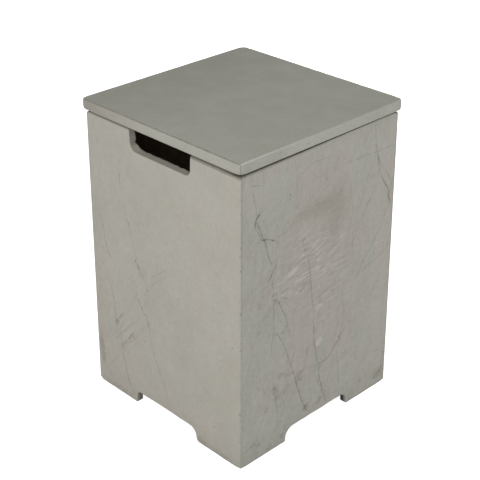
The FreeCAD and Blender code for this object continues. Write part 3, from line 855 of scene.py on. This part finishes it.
class Tree:
    """A small helper to write a node tree as plain calls."""

    def __init__(self, tree):
        self.tree = tree

    def feed(self, node, inputs):
        """Links each input to another node's output, or gives it a value of its own."""
        for key, source in inputs.items():
            if isinstance(source, bpy.types.NodeSocket):
                self.tree.links.new(source, node.inputs[key])
            else:
                node.inputs[key].default_value = source

    def node(self, kind, inputs=(), output=0, **settings):
        """Adds a node with its settings and inputs, and gives one of its outputs."""
        made = self.tree.nodes.new(kind)
        for name, value in settings.items():
            setattr(made, name, value)
        self.feed(made, dict(inputs))
        return made.outputs[output]

    def math(self, operation, *values):
        return self.node("ShaderNodeMath", enumerate(values), operation=operation)

    def glow(self, kind, unseen, seen):
        """White light of one strength where the camera sees it, also in a mirror or through
        glass, and of another strength for all other rays."""
        path = self.tree.nodes.new("ShaderNodeLightPath").outputs
        watched = self.math("MAXIMUM", path["Is Camera Ray"], path["Is Glossy Ray"])
        watched = self.math("MAXIMUM", watched, path["Is Transmission Ray"])
        lights = [self.node(kind, {"Color": (1, 1, 1, 1), "Strength": each}) for each in (unseen, seen)]
        return self.node("ShaderNodeMixShader", enumerate((watched, *lights)))


class Shader(Tree):
    """A material. It keeps the colour painted so far, and each tint lies over that. Colours
    are display values, and the sizes of patterns are in metres."""

    def __init__(self, name):
        self.material = bpy.data.materials.new(name)
        self.material.use_nodes = True
        super().__init__(self.material.node_tree)
        self.surface = self.tree.nodes["Principled BSDF"]
        self.coords = self.node("ShaderNodeTexCoord", output="Object")
        self.across, self.back, self.height = (
            self.node("ShaderNodeSeparateXYZ", {0: self.coords}, axis) for axis in "XYZ"
        )
        self.colour = None

    def times(self, first, second):
        return self.math("MULTIPLY", first, second)

    def scaled(self, value, factor, plus):
        return self.math("MULTIPLY_ADD", value, factor, plus)

    def minus(self, first, second):
        return self.math("SUBTRACT", first, second)

    def absolute(self, value):
        return self.math("ABSOLUTE", value)

    def attribute(self, name):
        return self.node("ShaderNodeAttribute", output="Fac", attribute_name=name)

    def moved(self, shift=(0, 0, 0), scale=(1, 1, 1)):
        return self.node("ShaderNodeMapping", {0: self.coords, "Location": shift, "Scale": scale})

    def stretched(self, sizes, turn=(0, 0, 0), where=None):
        """Coordinates in which one unit is one size along each turned axis."""
        turns = [math.radians(angle) for angle in turn]
        inputs = {"Vector": where or self.coords, "Rotation": turns, "Scale": sizes}
        return self.node("ShaderNodeMapping", inputs, vector_type="TEXTURE")

    def noise(self, size, detail=4.0, roughness=0.55, where=None, output="Fac"):
        place = where or self.coords
        inputs = {"Vector": place, "Scale": 1 / size, "Detail": detail, "Roughness": roughness}
        return self.node("ShaderNodeTexNoise", inputs, output)

    def centred(self, size, detail, roughness=0.5, where=None):
        """Noise on both sides of 0."""
        return self.minus(self.noise(size, detail, roughness, where), 0.5)

    def warped(self, size, reach):
        """The object's coordinates pushed about by soft noise."""
        push = self.noise(size, 2, 0.5, output="Color")
        pushed = enumerate((push, (reach, reach, reach), self.coords))
        return self.node("ShaderNodeVectorMath", pushed, operation="MULTIPLY_ADD")

    def spread(self, value, low, high, to_low=0.0, to_high=1.0):
        inputs = {"Value": value, "From Min": low, "From Max": high, "To Min": to_low, "To Max": to_high}
        return self.node("ShaderNodeMapRange", inputs, "Result", interpolation_type="SMOOTHSTEP")

    def mix(self, share, first, second):
        inputs = {"Factor": share, "A": first, "B": second}
        return self.node("ShaderNodeMix", inputs, "Result", data_type="RGBA")

    def clouded(self, cloud, first, second, high=0.7):
        """One colour that passes into another where a cloud of noise is high."""
        return self.mix(self.spread(cloud, 0.35, high), srgb(*first), srgb(*second))

    def tint(self, share, colour, *held):
        """Lays a colour over the paint by a share, which each of the others scales."""
        for factor in held:
            share = self.times(share, factor)
        self.colour = self.mix(share, self.colour, srgb(*colour))

    def above(self, field, low, high, share, colour, *held):
        """Tints up to a share where a field goes from low to high."""
        self.tint(self.spread(field, low, high, 0, share), colour, *held)

    def below(self, field, low, high, share, colour, *held):
        """Tints up to a share where a field goes from high to low."""
        self.tint(self.spread(field, low, high, share, 0), colour, *held)

    def finish(self, wear, dull, dullest, relief, depth, specular=0.3):
        """Gives the surface its paint, a roughness that follows the wear, and a relief."""
        self.feed(self.surface, {
            "Base Color": self.colour,
            "Roughness": self.spread(wear, 0.3, 0.7, dull, dullest),
            "Specular IOR Level": specular,
            "Normal": self.node("ShaderNodeBump", {"Height": relief, "Distance": depth}),
        })
        return self.material


# Layers of the casing's finish
def clouds(sh, front, warp):
    cloud = sh.noise(1, 5, 0.62, sh.stretched((0.05, 0.05, 0.16), (-14, 6, 0), warp))
    warmth = sh.minus(sh.attribute("warm"), sh.attribute("cool"))
    # The front wall's colours are a little darker than the right wall's: partly its own tone, partly
    # painted shade.
    cooler = sh.mix(front, srgb(162, 162, 154), srgb(160, 158, 148))
    warmer = sh.mix(front, srgb(167, 161, 154), srgb(163, 158, 149))
    sh.colour = sh.mix(sh.spread(sh.scaled(warmth, 0.15, cloud), 0.40, 0.64), cooler, warmer)
    sh.above(sh.noise(0.11, 4, 0.6, sh.moved((3.1, 1.7, 0.4))), 0.4, 0.66, 0.5, (167, 163, 155))


def smears(sh, warp, calm):
    field = sh.noise(1, 6, 0.7, sh.stretched((0.014, 0.014, 0.075), (-18, 8, 0), warp))
    sh.above(field, 0.5, 0.66, 0.4, (151, 148, 138), calm)
    sh.below(field, 0.32, 0.44, 0.4, (178, 175, 167), calm)
    mottle = sh.noise(0.012, 5, 0.72, sh.moved((4, 4, 9)))
    sh.above(mottle, 0.46, 0.7, 0.34, (145, 143, 132), calm)
    sh.below(mottle, 0.3, 0.5, 0.2, (178, 175, 166), calm)
    olive = sh.scaled(sh.minus(mottle, 0.5), 0.8, sh.attribute("olive"))
    sh.above(olive, 0, 1.2, 0.6, (144, 140, 130))
    sh.tint(sh.attribute("light"), (178, 175, 167), 0.25)


def hairlines(sh, warp, calm):
    """Lines as thin as a pencil stroke, in patches."""
    strands = sh.centred(1, 3, where=sh.stretched((0.03, 0.03, 0.09), (-12, 6, 0), warp))
    patches = sh.spread(sh.noise(0.07, 2, 0.5, sh.moved((8, 2, 4))), 0.46, 0.62, 0, 0.26)
    sh.below(sh.absolute(strands), 0.002, 0.010, 1, (112, 104, 95), patches, calm)


def brush_strokes(sh, right, front):
    """Pale and dark strokes at two angles on the right wall, and dark ones on the front."""
    brushed = sh.attribute("brushed")
    bent = sh.warped(0.07, 0.006)
    steeper = sh.spread(sh.noise(0.05, 1, 0.5, sh.moved((2, 2, 5))), 0.47, 0.53)
    for angle, chosen in ((3, sh.minus(1, steeper)), (17, steeper)):
        strokes = sh.noise(1, 2, 0.55, sh.stretched((0.2, 0.06, 0.0046), (angle, 0, 0), bent))
        sh.above(strokes, 0.52, 0.66, 0.6, (184, 180, 172), brushed, right, chosen)
        sh.below(strokes, 0.34, 0.47, 0.38, (138, 133, 124), brushed, right, chosen)
    strokes = sh.noise(1, 2, 0.6, sh.stretched((0.07, 0.2, 0.0034), (0, -48, 0), bent))
    sh.above(strokes, 0.52, 0.64, 0.32, (128, 122, 112), brushed, front)


def blotches(sh, front, broken):
    """Dark and pale blotches with broken edges, grain, specks, and dirt along the feet."""
    dark = sh.scaled(broken, 1.2, sh.attribute("dark"))
    dark = sh.scaled(sh.centred(0.0055, 5, 0.8), 2.6, dark)
    sh.above(dark, 0.35, 1.15, 0.55, (116, 112, 100))
    sh.above(sh.scaled(broken, 1.4, sh.attribute("pale")), 0.45, 1, 0.6, (190, 188, 180))
    grainy = sh.scaled(front, -0.06, 0.26)
    sh.above(sh.noise(0.0032, 3, 0.7), 0.4, 0.72, 1, (136, 133, 125), grainy)
    sh.above(sh.noise(0.006, 1, 0.5, sh.moved((5, 9, 2))), 0.755, 0.81, 0.6, (104, 100, 92))
    foot = sh.scaled(sh.noise(0.03, 4, 0.6), -0.07, sh.height)
    sh.below(foot, -0.035, 0.03, 0.25, (138, 134, 124))


def painted_shade_under_lid(sh, right, front, broken):
    """Painted shade of the lid along the rim: a grey band with a dark line in it, widest at the corner of
    the front and the right wall.
    """
    from_corner = sh.minus(sh.minus(sh.back, sh.across), -2 * half_width(RIM))
    near = sh.spread(from_corner, 0, 0.34, 1, 0)
    width = sh.scaled(front, 1.0 * MM, sh.scaled(near, 3.2 * MM, 2.2 * MM))
    under = sh.math("DIVIDE", sh.minus(RIM, sh.height), width)
    under = sh.scaled(broken, 0.5, under)
    # painted shade: a grey band on the rounded rim just under the lid's edge
    sh.below(under, 0.9, 1.5, 1, (112, 109, 98), sh.scaled(right, -0.35, 0.75))
    fading = sh.spread(from_corner, 0.18, 0.45, 1, 0.15)
    at_corner = sh.spread(from_corner, 0, 0.05, 0.2, -0.5)
    # painted shadow: the dark line in the gap under the lid
    sh.below(under, 0.42, 0.82, 0.92, (52, 48, 38), fading, sh.scaled(front, at_corner, 1))


def upright_corners(sh, right):
    """Pits in the rounded corners, and a line beside each end of the right wall."""
    pits = sh.spread(sh.noise(0.007, 2, 0.6), 0.60, 0.68, 0.12, 0.9)
    sh.tint(sh.attribute("corner"), (118, 111, 102), pits)
    half = sh.scaled(sh.height, -DRAFT / RIM, BASE_HALF)
    from_line = sh.absolute(sh.minus(sh.math("ADD", half, sh.back), 3.2 * MM))
    upper = sh.spread(sh.height, 0.15, 0.5, 0.25, 0.62)
    sh.below(from_line, 0.6 * MM, 1.6 * MM, 1, (112, 106, 95), upper, right)
    sh.below(sh.minus(half, sh.back), 2 * MM, 5.5 * MM, 0.8, (108, 98, 82), right)


def veins(sh):
    """Paints the veins, and gives the groove that they leave."""
    jag = sh.centred(0.006, 3, 0.65)
    wander = sh.centred(0.03, 2, where=sh.moved((1, 5, 8)))
    groove = 0.0
    for each in range(VEIN_SETS):
        side = sh.scaled(jag, 3.0, sh.attribute(f"vein_side_{each}"))
        near = sh.absolute(sh.scaled(wander, 5.0, side))
        line = sh.spread(near, 0.15, 1.2, 0.95, 0)
        halo = sh.spread(near, 0, 4.0, 0.22, 0)
        gaps = sh.spread(sh.noise(0.009, 3, 0.6, sh.moved((each, 3, 6))), 0.36, 0.62, 0.3, 1)
        strength = sh.times(sh.attribute(f"vein_ink_{each}"), gaps)
        sh.tint(sh.math("ADD", line, halo), (97, 87, 76), strength)
        groove = sh.math("MAXIMUM", groove, sh.times(line, strength))
    return groove


def inside(sh, front):
    """The dull ledge of a notch, the raw inside darkened partly as painted shade, painted shade in the
    arches, and painted shade on the rim's top.
    """
    sh.tint(sh.attribute("ledge"), (116, 115, 104), 0.5)
    # the inside's own raw concrete, made darker and browner partly as painted shade, so the notch looks
    # dark
    raw = sh.clouded(sh.noise(0.04, 5, 0.65), (90, 78, 61), (112, 98, 80))
    sh.colour = sh.mix(sh.spread(sh.attribute("outer_share"), 0.02, 0.2), raw, sh.colour)
    # painted shade: dark brown deeper into the wall under the arches, where the casing shades itself
    arch_shade_share = sh.scaled(front, -0.5, 0.95)
    sh.above(sh.attribute("arch_depth"), 0.05, 0.66, 1, (44, 35, 20), arch_shade_share)
    # painted shade: the rim's top darker, so the gap under the lid looks dark
    sh.tint(sh.attribute("shaded_rim_top"), (112, 106, 96))


def casing_concrete():
    sh = Shader("casing_concrete")
    right, front = sh.attribute("right_wall"), sh.attribute("front_wall")
    warp = sh.warped(0.09, 0.035)
    broken = sh.centred(0.012, 5, 0.7)
    # smears, mottling and hairlines show half as much on the front wall
    calm = sh.scaled(front, -0.5, 1)
    clouds(sh, front, warp)
    smears(sh, warp, calm)
    hairlines(sh, warp, calm)
    brush_strokes(sh, right, front)
    blotches(sh, front, broken)
    painted_shade_under_lid(sh, right, front, broken)
    upright_corners(sh, right)
    groove = veins(sh)
    inside(sh, front)
    relief = sh.scaled(sh.noise(0.0025, 3, 0.65), 0.35, sh.noise(0.02, 4, 0.6))
    return sh.finish(sh.noise(0.05), 0.72, 0.9, sh.scaled(groove, -1.6, relief), 0.35 * MM)


def lid_sides(sh, grain):
    """Painted shade on the front face, darker to the left, and paler in the middle of the right side,
    with short level scratches."""
    sh.colour = sh.clouded(sh.noise(0.07), (162, 162, 153), (157, 157, 148), 0.65)
    scuffs = sh.noise(1, 5, 0.7, sh.stretched((0.03, 0.03, 0.006)))
    sh.above(scuffs, 0.56, 0.74, 0.4, (138, 135, 126))
    sh.below(scuffs, 0.3, 0.42, 0.3, (180, 177, 168))
    # painted shade: the front face darker towards the left
    leftwards = sh.spread(sh.across, -LID_HALF, 0, 1, 0.26)
    sh.below(sh.back, 1 * MM - LID_HALF, 3 * MM - LID_HALF, 1, (140, 135, 126), leftwards)
    middle = sh.spread(sh.absolute(sh.back), 0, 0.17, 0.34, 0)
    sh.above(sh.across, LID_HALF - 3 * MM, LID_HALF - 1 * MM, 1, (182, 180, 171), middle)
    sh.above(grain, 0.4, 0.7, 0.2, (138, 134, 126))
    level = sh.stretched((0.017, 0.017, 0.0018), where=sh.warped(0.03, 0.004))
    sh.above(sh.noise(1, 3, 0.6, level), 0.635, 0.70, 0.55, (108, 104, 94))
    return sh.colour


def lid_top(sh, grain, trowel):
    """Clouds and trowel marks, painted shade to the left and painted light at the near corner, with a few
    pale specks."""
    sh.colour = sh.clouded(sh.noise(0.16, 3, 0.5), (145, 145, 135), (149, 149, 140), 0.68)
    sh.above(sh.noise(0.06, 4, 0.55, sh.moved((2, 7, 1))), 0.5, 0.72, 0.22, (139, 139, 130))
    sh.above(trowel, 0.5, 0.7, 0.22, (134, 135, 126))
    sh.below(trowel, 0.3, 0.45, 0.18, (154, 154, 145))
    # painted shade: darker towards the left
    sh.below(sh.across, -LID_HALF, 0.4 * LID_HALF, 0.58, (132, 131, 122))
    # painted light: brighter towards the near corner
    sh.above(sh.minus(sh.across, sh.back), 0, 2 * LID_HALF, 0.35, (156, 156, 147))
    sh.above(grain, 0.4, 0.7, 0.32, (126, 127, 118))
    sh.above(sh.noise(0.0042, 1, 0.5, sh.moved((6, 1, 3))), 0.775, 0.82, 0.6, (178, 178, 170))
    return sh.colour


def lid_concrete():
    sh = Shader("lid_concrete")
    grain = sh.noise(0.003, 3, 0.7)
    trowel = sh.noise(1, 5, 0.7, sh.stretched((0.05, 0.012, 0.05), (0, 0, 32), sh.warped(0.12, 0.03)))
    sh.colour = sh.mix(sh.attribute("upper_face"), lid_sides(sh, grain), lid_top(sh, grain, trowel))
    worn = sh.spread(sh.noise(0.01, 3, 0.6), 0.3, 0.7, 0.45, 0.85)
    sh.tint(sh.attribute("front_edge"), (112, 106, 95), worn)
    # painted highlight on the right side's upper rounding, strongest towards the front
    near = sh.spread(sh.back, -LID_HALF, 0.02, 0.55, 0.1)
    sh.tint(sh.attribute("right_edge"), (188, 187, 178), near)
    sh.tint(sh.attribute("upright_edge"), (126, 114, 102), 0.65)
    relief = sh.scaled(trowel, 0.5, sh.scaled(grain, 0.4, sh.noise(0.03, 4, 0.6)))
    return sh.finish(sh.noise(0.05), 0.6, 0.78, relief, 0.2 * MM)


def bumper_rubber():
    sh = Shader("bumper_rubber")
    sh.colour = sh.clouded(sh.noise(0.004), (32, 31, 30), (52, 50, 48))
    return sh.finish(sh.noise(0.006, 3), 0.7, 0.9, sh.noise(0.0012, 3, 0.6), 0.1 * MM)


def block_plastic():
    sh = Shader("block_plastic")
    sh.colour = sh.clouded(sh.noise(0.02), (46, 45, 44), (66, 64, 61))
    scuff = sh.noise(0.008, 4, 0.7, sh.moved(scale=(1, 1, 0.15)))
    sh.above(scuff, 0.6, 0.75, 0.5, (110, 107, 102))
    return sh.finish(scuff, 0.45, 0.65, sh.noise(0.001, 3, 0.6), 0.06 * MM, 0.5)


def screw_steel():
    sh = Shader("screw_steel")
    sh.colour = sh.clouded(sh.noise(0.003), (178, 178, 180), (198, 197, 196))
    sh.above(sh.noise(0.002, 4, 0.7), 0.62, 0.8, 0.6, (132, 118, 104))
    sh.feed(sh.surface, {"Metallic": 1.0})
    brushed = sh.noise(0.0008, 3, 0.6, sh.moved(scale=(1, 1, 0.1)))
    return sh.finish(brushed, 0.3, 0.5, brushed, 0.02 * MM, 0.5)


def plug_nylon():
    sh = Shader("plug_nylon")
    sh.colour = sh.clouded(sh.noise(0.005), (196, 193, 186), (210, 207, 200))
    return sh.finish(sh.noise(0.004, 3), 0.5, 0.7, sh.noise(0.001), 0.05 * MM)


def dress(node, material):
    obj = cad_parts[node]
    obj.data.materials.clear()
    obj.data.materials.append(material)


# Pieces
casing = make_casing()
casing.data.materials.append(casing_concrete())
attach(casing, "casing")
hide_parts("cover_body")

lid = make_lid()
lid.data.materials.append(lid_concrete())
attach(lid, "lid")
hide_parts("lid_slab")

rubber, plastic = bumper_rubber(), block_plastic()
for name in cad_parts:
    if name.startswith("rim_bumper"):
        dress(name, rubber)
    if name.startswith("locating_block"):
        dress(name, plastic)
dress("block_screws", screw_steel())
dress("anchor_plugs", plug_nylon())


# Floor and light
FLOOR_HALF = 6.0
FLOOR_GREY = (0.62, 0.62, 0.62, 1)
FLOOR_GLOW = 0.93
AMBIENT = 0.56
# Place, width and power of each lamp. They all aim at one place.
LAMPS = {
    "key": ((0.9, -2.8, 1.9), 2.2, 65),
    "fill": ((2.4, 2.2, 1.25), 2.2, 29.5),
    "back": ((-1.8, 2.2, 0.3), 0.5, 28),
}
LAMP_AIM = Vector((0, 0, 0.3))


def floor_glow(sh):
    """How bright the floor's glow is: even outside the casing, and inside it only by the arches, where it
    is painted light over the casing's shade.
    """
    far_x, far_y = sh.absolute(sh.across), sh.absolute(sh.back)
    furthest, nearest = sh.math("MAXIMUM", far_x, far_y), sh.math("MINIMUM", far_x, far_y)
    inner_half = BASE_HALF - WALL
    # painted light on the floor inside the casing, by the arches
    painted_light_at_arch = sh.times(
        sh.spread(furthest, inner_half - 0.09, inner_half - 0.035, 0, FLOOR_GLOW),
        sh.spread(nearest, ARCH_HALF + 0.025, ARCH_HALF + 0.06, 1, 0),
    )
    outside = sh.spread(furthest, inner_half, inner_half + 0.01, 0, FLOOR_GLOW)
    return sh.math("MAXIMUM", painted_light_at_arch, outside)


def make_floor():
    corners = [(-1, -1), (1, -1), (1, 1), (-1, 1)]
    places = [(x * FLOOR_HALF, y * FLOOR_HALF, 0) for x, y in corners]
    floor = mesh_object("floor", places, [(0, 1, 2, 3)])
    sh = Shader("pale_floor")
    sh.feed(sh.surface, {"Base Color": FLOOR_GREY, "Roughness": 0.9, "Specular IOR Level": 0.0})
    glow = sh.glow("ShaderNodeEmission", 0, floor_glow(sh))
    both = sh.node("ShaderNodeAddShader", {0: sh.surface.outputs[0], 1: glow})
    sh.feed(sh.tree.nodes["Material Output"], {"Surface": both})
    floor.data.materials.append(sh.material)


def make_world():
    world = bpy.data.worlds.new("studio")
    bpy.context.scene.world = world
    world.use_nodes = True
    nodes = world.node_tree.nodes
    nodes.clear()
    light = Tree(world.node_tree)
    shown = light.glow("ShaderNodeBackground", AMBIENT, 1)
    light.feed(nodes.new("ShaderNodeOutputWorld"), {"Surface": shown})


def add_lamp(name, place, width, power):
    data = bpy.data.lights.new(name, "AREA")
    data.shape = "SQUARE"
    data.size = width
    data.energy = power
    turn = (LAMP_AIM - Vector(place)).to_track_quat("-Z", "Y").to_euler()
    add_object(name, data, place, turn)


# Camera at the photograph's viewing angle
CAMERA_PLACE = (1.3709, -1.3482, 1.3478)
CAMERA_AZIMUTH = 45.59
CAMERA_ELEVATION = 28.18
CAMERA_LENS = 86.36
CAMERA_SENSOR = 36


def make_camera():
    data = bpy.data.cameras.new("camera")
    data.lens = CAMERA_LENS
    data.sensor_width = CAMERA_SENSOR
    turn = (math.radians(90 - CAMERA_ELEVATION), 0, math.radians(CAMERA_AZIMUTH))
    bpy.context.scene.camera = add_object("camera", data, CAMERA_PLACE, turn)


make_floor()
make_world()
for name, (place, width, power) in LAMPS.items():
    add_lamp(name, place, width, power)
make_camera()
bpy.context.scene.view_settings.view_transform = "Standard"
